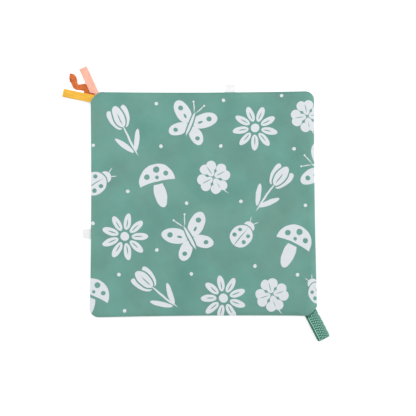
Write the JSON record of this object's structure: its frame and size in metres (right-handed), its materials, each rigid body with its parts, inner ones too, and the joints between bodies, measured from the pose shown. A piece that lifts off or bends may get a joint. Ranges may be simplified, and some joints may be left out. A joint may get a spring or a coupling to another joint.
{
  "type": "crinkle panel",
  "caption": "Flat square cloth panel with crinkle film between its covers, ribbon loop tags at one corner and a webbing hanging loop at the opposite corner, for a baby to grasp and crumple.",
  "frame": {"origin": "middle of the back cover's flat outer face, on which the panel lies", "axes": "+Z out of the printed front, +Y towards the side with the single label tab at the top of the picture, +X to the right in the picture"},
  "size_m": [0.3538, 0.3697, 0.0069],
  "materials": {
    "front_cloth": "matte",
    "back_cloth": "matte",
    "film": "gloss",
    "pink_ribbon": "satin",
    "yellow_ribbon": "satin",
    "rust_trim": "matte",
    "webbing": "matte",
    "label": "satin"
  },
  "bodies": {
    "panel": {"front_cover": "front_cloth", "back_cover": "back_cloth", "crinkle_film_front": "film", "crinkle_film_back": "film", "rust_trim_tail": "rust_trim", "pink_ribbon_tail": "pink_ribbon", "yellow_ribbon_tail": "yellow_ribbon", "webbing_tail": "webbing", "left_label_tail": "label", "top_label_tail": "label"},
    "corner_tags": {"rust_trim_loop": "rust_trim", "pink_ribbon_root": "pink_ribbon", "yellow_ribbon_root": "yellow_ribbon"},
    "pink_ribbon": {"pink_ribbon_loop": "pink_ribbon"},
    "yellow_ribbon": {"yellow_ribbon_loop": "yellow_ribbon"},
    "webbing": {"webbing_loop": "webbing"},
    "left_label": {"left_label_tab": "label"},
    "top_label": {"top_label_tab": "label"}
  },
  "joints": [
    {"name": "corner_tags_flex", "type": "hinge", "parent": "panel", "child": "corner_tags", "pos_m": [-0.14562, 0.14562, 0.00195], "axis": [0.7071, 0.7071, 0], "range_deg": [0, 80]},
    {"name": "pink_ribbon_flex", "type": "hinge", "parent": "corner_tags", "child": "pink_ribbon", "pos_m": [-0.14614, 0.15164, 0.00195], "axis": [0.9085, 0.4179, 0], "range_deg": [0, 80]},
    {"name": "yellow_ribbon_flex", "type": "hinge", "parent": "corner_tags", "child": "yellow_ribbon", "pos_m": [-0.15706, 0.14301, 0.00285], "axis": [0.2147, 0.9767, 0], "range_deg": [0, 80]},
    {"name": "webbing_flex", "type": "hinge", "parent": "panel", "child": "webbing", "pos_m": [0.14336, -0.14782, 0.00195], "axis": [-0.7071, -0.7071, 0], "range_deg": [0, 100]},
    {"name": "left_label_flex", "type": "hinge", "parent": "panel", "child": "left_label", "pos_m": [-0.14945, -0.0397, 0.00195], "axis": [0, 1, 0], "range_deg": [0, 100]},
    {"name": "top_label_flex", "type": "hinge", "parent": "panel", "child": "top_label", "pos_m": [0.0374, 0.14944, 0.00195], "axis": [1, 0, 0], "range_deg": [0, 100]}
  ]
}
